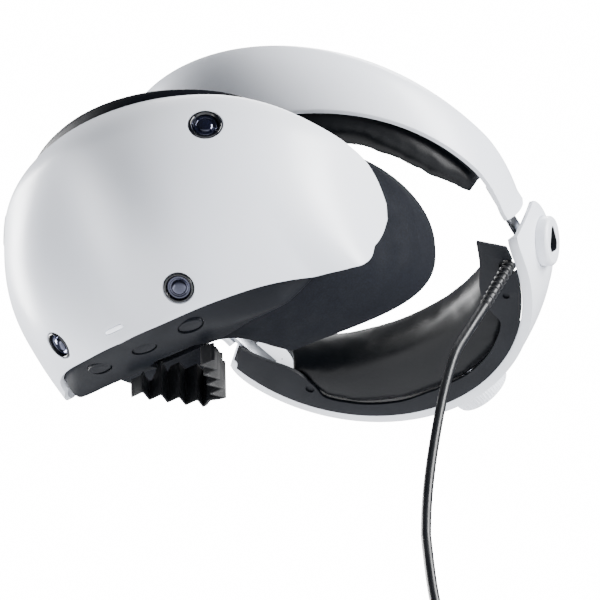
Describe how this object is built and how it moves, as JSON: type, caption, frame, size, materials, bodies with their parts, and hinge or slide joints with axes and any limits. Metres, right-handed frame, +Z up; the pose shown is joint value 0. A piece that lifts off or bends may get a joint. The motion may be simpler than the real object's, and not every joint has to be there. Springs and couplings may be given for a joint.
{
  "type": "virtual reality headset",
  "caption": "Head-worn display with a rounded white visor, dark light shield, padded halo band, rear adjusting dial and a thin cable.",
  "frame": {"origin": "middle of the wearer's head at eye height, on the plane of symmetry", "axes": "+X to the wearer's left, +Y to the wearer's back, +Z up"},
  "size_m": [0.2116, 0.3255, 0.4483],
  "materials": {
    "white_shell": "satin moulded",
    "dark_plastic": "satin moulded",
    "soft_pad": "smooth leatherette over foam",
    "shield_rubber": "matte grained rubber",
    "camera_glass": "polished, dark behind",
    "eye_glass": "polished ribbed lens",
    "display_glass": "dark glass panel",
    "circuit_board": "solder mask",
    "bare_aluminium": "extruded",
    "steel": "ground",
    "light_pipe": "clear moulded",
    "cord_jacket": "smooth jacket",
    "plug_plastic": "moulded",
    "tie_tape": "woven hook tape"
  },
  "bodies": {
    "band": {"band_shell": "white_shell", "band_frame": "dark_plastic", "forehead_pad": "soft_pad", "slide_rail": "steel", "band_arm_left": "steel", "band_arm_right": "steel"},
    "visor": {"front_shell": "white_shell", "lower_housing": "dark_plastic", "top_cover": "dark_plastic", "microphone_cap": "dark_plastic", "inner_frame": "dark_plastic", "main_board": "circuit_board", "heat_sink": "bare_aluminium", "fan_housing": "dark_plastic", "vibration_motor": "steel", "light_shield": "shield_rubber", "nose_flap": "shield_rubber", "rail_sleeve": "dark_plastic", "status_light": "light_pipe", "camera_bezel_upper_left": "dark_plastic", "camera_bezel_upper_right": "dark_plastic", "camera_bezel_lower_left": "dark_plastic", "camera_bezel_lower_right": "dark_plastic", "camera_lens_upper_left": "camera_glass", "camera_lens_upper_right": "camera_glass", "camera_lens_lower_left": "camera_glass", "camera_lens_lower_right": "camera_glass"},
    "function_button": {"function_button": "dark_plastic"},
    "power_button": {"power_button": "dark_plastic"},
    "scope_release": {"scope_release": "dark_plastic"},
    "lens_dial": {"lens_dial": "dark_plastic"},
    "lens_left": {"lens_barrel_left": "dark_plastic", "eye_lens_left": "eye_glass", "display_panel_left": "display_glass"},
    "lens_right": {"lens_barrel_right": "dark_plastic", "eye_lens_right": "eye_glass", "display_panel_right": "display_glass"},
    "fan_rotor": {"fan_rotor": "dark_plastic"},
    "rear": {"rear_shell": "white_shell", "rear_cover": "dark_plastic", "rear_pad": "soft_pad", "earbud_dock_left": "white_shell", "earbud_dock_right": "white_shell", "strain_relief": "cord_jacket", "cord": "cord_jacket", "cord_coil": "cord_jacket", "cord_tie": "tie_tape", "cord_plug": "plug_plastic"},
    "dial": {"adjust_dial": "white_shell", "dial_pinion": "steel"},
    "rear_release": {"rear_release": "white_shell"}
  },
  "joints": [
    {"name": "scope_slide", "type": "slide", "parent": "band", "child": "visor", "axis": [0, -1, 0], "range_m": [0, 0.03]},
    {"name": "band_extend", "type": "slide", "parent": "band", "child": "rear", "axis": [0, 0.9005, -0.4348], "range_m": [0, 0.02]},
    {"name": "dial_turn", "type": "hinge", "parent": "rear", "child": "dial", "pos_m": [0, 0.1312, 0.02105], "axis": [0, 0.9005, -0.4348], "range_deg": [0, 137]},
    {"name": "rear_release_press", "type": "slide", "parent": "rear", "child": "rear_release", "axis": [0, -0.9005, 0.4348], "range_m": [0, 0.0012], "stiffness_N_per_m": 600, "springref_m": -0.0008},
    {"name": "function_press", "type": "slide", "parent": "visor", "child": "function_button", "axis": [0, 0, 1], "range_m": [0, 0.0008], "stiffness_N_per_m": 600, "springref_m": -0.0008},
    {"name": "power_press", "type": "slide", "parent": "visor", "child": "power_button", "axis": [0, 0, 1], "range_m": [0, 0.0008], "stiffness_N_per_m": 600, "springref_m": -0.0008},
    {"name": "scope_release_press", "type": "slide", "parent": "visor", "child": "scope_release", "axis": [0, 0, -1], "range_m": [0, 0.0012], "stiffness_N_per_m": 600, "springref_m": -0.0008},
    {"name": "lens_dial_turn", "type": "hinge", "parent": "visor", "child": "lens_dial", "pos_m": [0.046, -0.122, 0.066], "axis": [0, 0, 1], "range_deg": [-60, 60]},
    {"name": "lens_left_slide", "type": "slide", "parent": "visor", "child": "lens_left", "axis": [1, 0, 0], "range_m": [-0.0035, 0.0035]},
    {"name": "lens_right_slide", "type": "slide", "parent": "visor", "child": "lens_right", "axis": [1, 0, 0], "range_m": [-0.0035, 0.0035]},
    {"name": "fan_spin", "type": "hinge", "parent": "visor", "child": "fan_rotor", "pos_m": [0, -0.152, 0.018], "axis": [0, 1, 0], "continuous": true}
  ],
  "couplings": [
    {"joint": "dial_turn", "follows": "band_extend", "rad_per_m": 119},
    {"joint": "lens_dial_turn", "follows": "lens_left_slide", "rad_per_m": 299},
    {"joint": "lens_right_slide", "follows": "lens_left_slide", "ratio": -1}
  ]
}
